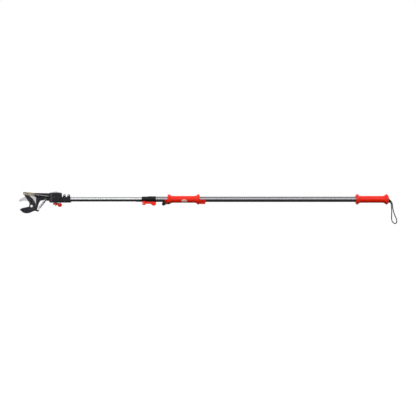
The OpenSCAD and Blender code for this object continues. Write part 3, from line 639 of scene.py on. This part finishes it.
add_blades()
dress([OUTER_TUBE], {"outer_tube": 0.3})
dress([INNER_TUBE], {"inner_tube": 0.25})
dress([RED], {"end_grip": 0.8, "slide_grip": 0.8, "clamp_lever": 1.2, "swivel_lever": 1.2,
                             "slide_carriage": 0.7}, 3)
dress([BLACK], {"end_plug": 1.2, "clamp_collar": 0.7, "cord_lock_lever": 0.8,
                                 "clamp_shoe": 0.4, "swivel_stop_pin": 0.4, "inner_tube_bush": 0.2,
                                 "lock_jaw": 0.3})
castings = dress([ALLOY, HIGHLIGHT_ALLOY], {"head_frame": 0.8, "swivel_base": 0.6})
for polygon in castings["head_frame"].data.polygons:
    # painted highlight: the arm's upward-facing slope takes a lighter paint in place of the top light's
    # reflection
    if polygon.normal.y < -0.75 and 0.4 < polygon.normal.z < 0.7 and polygon.center.x < ARM_ROOT:
        polygon.material_index = 1
dress([COATED], {"blade_lever": 0.6, "lever_rivets": 0.6, "lock_pin": 0.5})
dress([ZINC], {
    "clamp_lever_pin": 0.5, "carriage_screws": 0.3, "lock_spring": 0,
    "cord_ferrule": 0.4, "saddle_screws": 0.4, "saddle_nuts": 0.4, "swivel_bolt": 0.5, "cord_roller": 0.15,
    "roller_pin": 0.2, "swivel_lever_insert": 0.3, "counter_blade_rivets": 0.5, "pivot_nut": 0.5,
    "spring_pin": 0.3, "cord_anchor_pin": 0.2, "link_pin_stud": 0.4, "pulley_pin": 0.1,
})
dress([BRIGHT], {"pivot_bolt": 0.7, "tail_pin_stud": 0.3, "spring_hook": 0})
dress([YELLOW], {"pull_link": 0.4})
dress([BRONZE], {"pivot_bush": 0.3})
badge_look = dress([BADGE, ENAMEL], {"grip_badge": 0.2})["grip_badge"]
badge_top = max(v.co.yz.length for v in badge_look.data.vertices)
for polygon in badge_look.data.polygons:
    # the sunk floor is enamelled
    if polygon.center.yz.length < badge_top - 0.3 * MM and polygon.normal.yz.dot(polygon.center.yz) > 0:
        polygon.material_index = 1
dress([BLACK], {"link_pulley": 0.3})
dress([COATED], {"collar_screws": 0.3})


# ---------------------------------------------------------------- floor, light

def add_floor(level, size):
    """Plain pale floor below everything. It lights nothing, so the undersides stay dark."""
    mesh = bpy.data.meshes.new("floor")
    mesh.from_pydata([(-size, -size, level), (size, -size, level), (size, size, level), (-size, size, level)],
                     [], [(0, 1, 2, 3)])
    obj = add_object("floor", mesh)
    material = Material("floor", Roughness=0.9, Base_Color=(0.9, 0.9, 0.9, 1))
    material.shader.inputs["Emission Color"].default_value = (1, 1, 1, 1)
    material.shader.inputs["Emission Strength"].default_value = 0.8
    obj.data.materials.append(material.data)
    obj.visible_diffuse = False
    obj.visible_glossy = False
    obj.visible_transmission = False
    obj.visible_shadow = False


def add_area_light(name, location, target, size, power):
    data = bpy.data.lights.new(name, "AREA")
    data.shape = "RECTANGLE"
    data.size, data.size_y = size
    data.energy = power
    obj = bpy.data.objects.new(name, data)
    scene.collection.objects.link(obj)
    obj.location = location
    look(obj, target)


def add_world(stops):
    """White for the camera; for light and reflections a studio tent, pale above and dark below.
    stops are (height from -1 straight down to 1 straight up, brightness)."""
    world = bpy.data.worlds.new("world")
    scene.world = world
    world.use_nodes = True
    nodes, links = world.node_tree.nodes, world.node_tree.links
    split = nodes.new("ShaderNodeSeparateXYZ")
    links.new(nodes.new("ShaderNodeTexCoord").outputs["Generated"], split.inputs[0])
    height = nodes.new("ShaderNodeMapRange")
    links.new(split.outputs["Z"], height.inputs["Value"])
    height.inputs["From Min"].default_value = -1
    ramp = nodes.new("ShaderNodeValToRGB")
    links.new(height.outputs["Result"], ramp.inputs["Fac"])
    while len(ramp.color_ramp.elements) < len(stops):
        ramp.color_ramp.elements.new(0.5)
    for element, (place, level) in zip(ramp.color_ramp.elements, stops):
        element.position = (place + 1) / 2
        element.color = (level, level, level, 1)
    pick = nodes.new("ShaderNodeMix")
    pick.data_type = "RGBA"
    links.new(nodes.new("ShaderNodeLightPath").outputs["Is Camera Ray"], pick.inputs["Factor"])
    links.new(ramp.outputs["Color"], pick.inputs[6])
    pick.inputs[7].default_value = (1, 1, 1, 1)
    links.new(pick.outputs[2], nodes["Background"].inputs["Color"])
    nodes["Background"].inputs["Strength"].default_value = 1


add_floor(level=-4.5, size=30)
add_world([(-1, 0.01), (-0.50, 0.02), (-0.38, 0.20), (0.0, 1.10), (0.5, 1.25), (0.8, 0.90), (1, 0.75)])
add_area_light("key", (-0.95, -3.2, 2.5), (-0.95, 0, 0), (6, 0.8), 62)
add_area_light("side", (-4.2, -0.9, 0.1), (SWIVEL.x, 0, 0), (0.5, 1.4), 12)
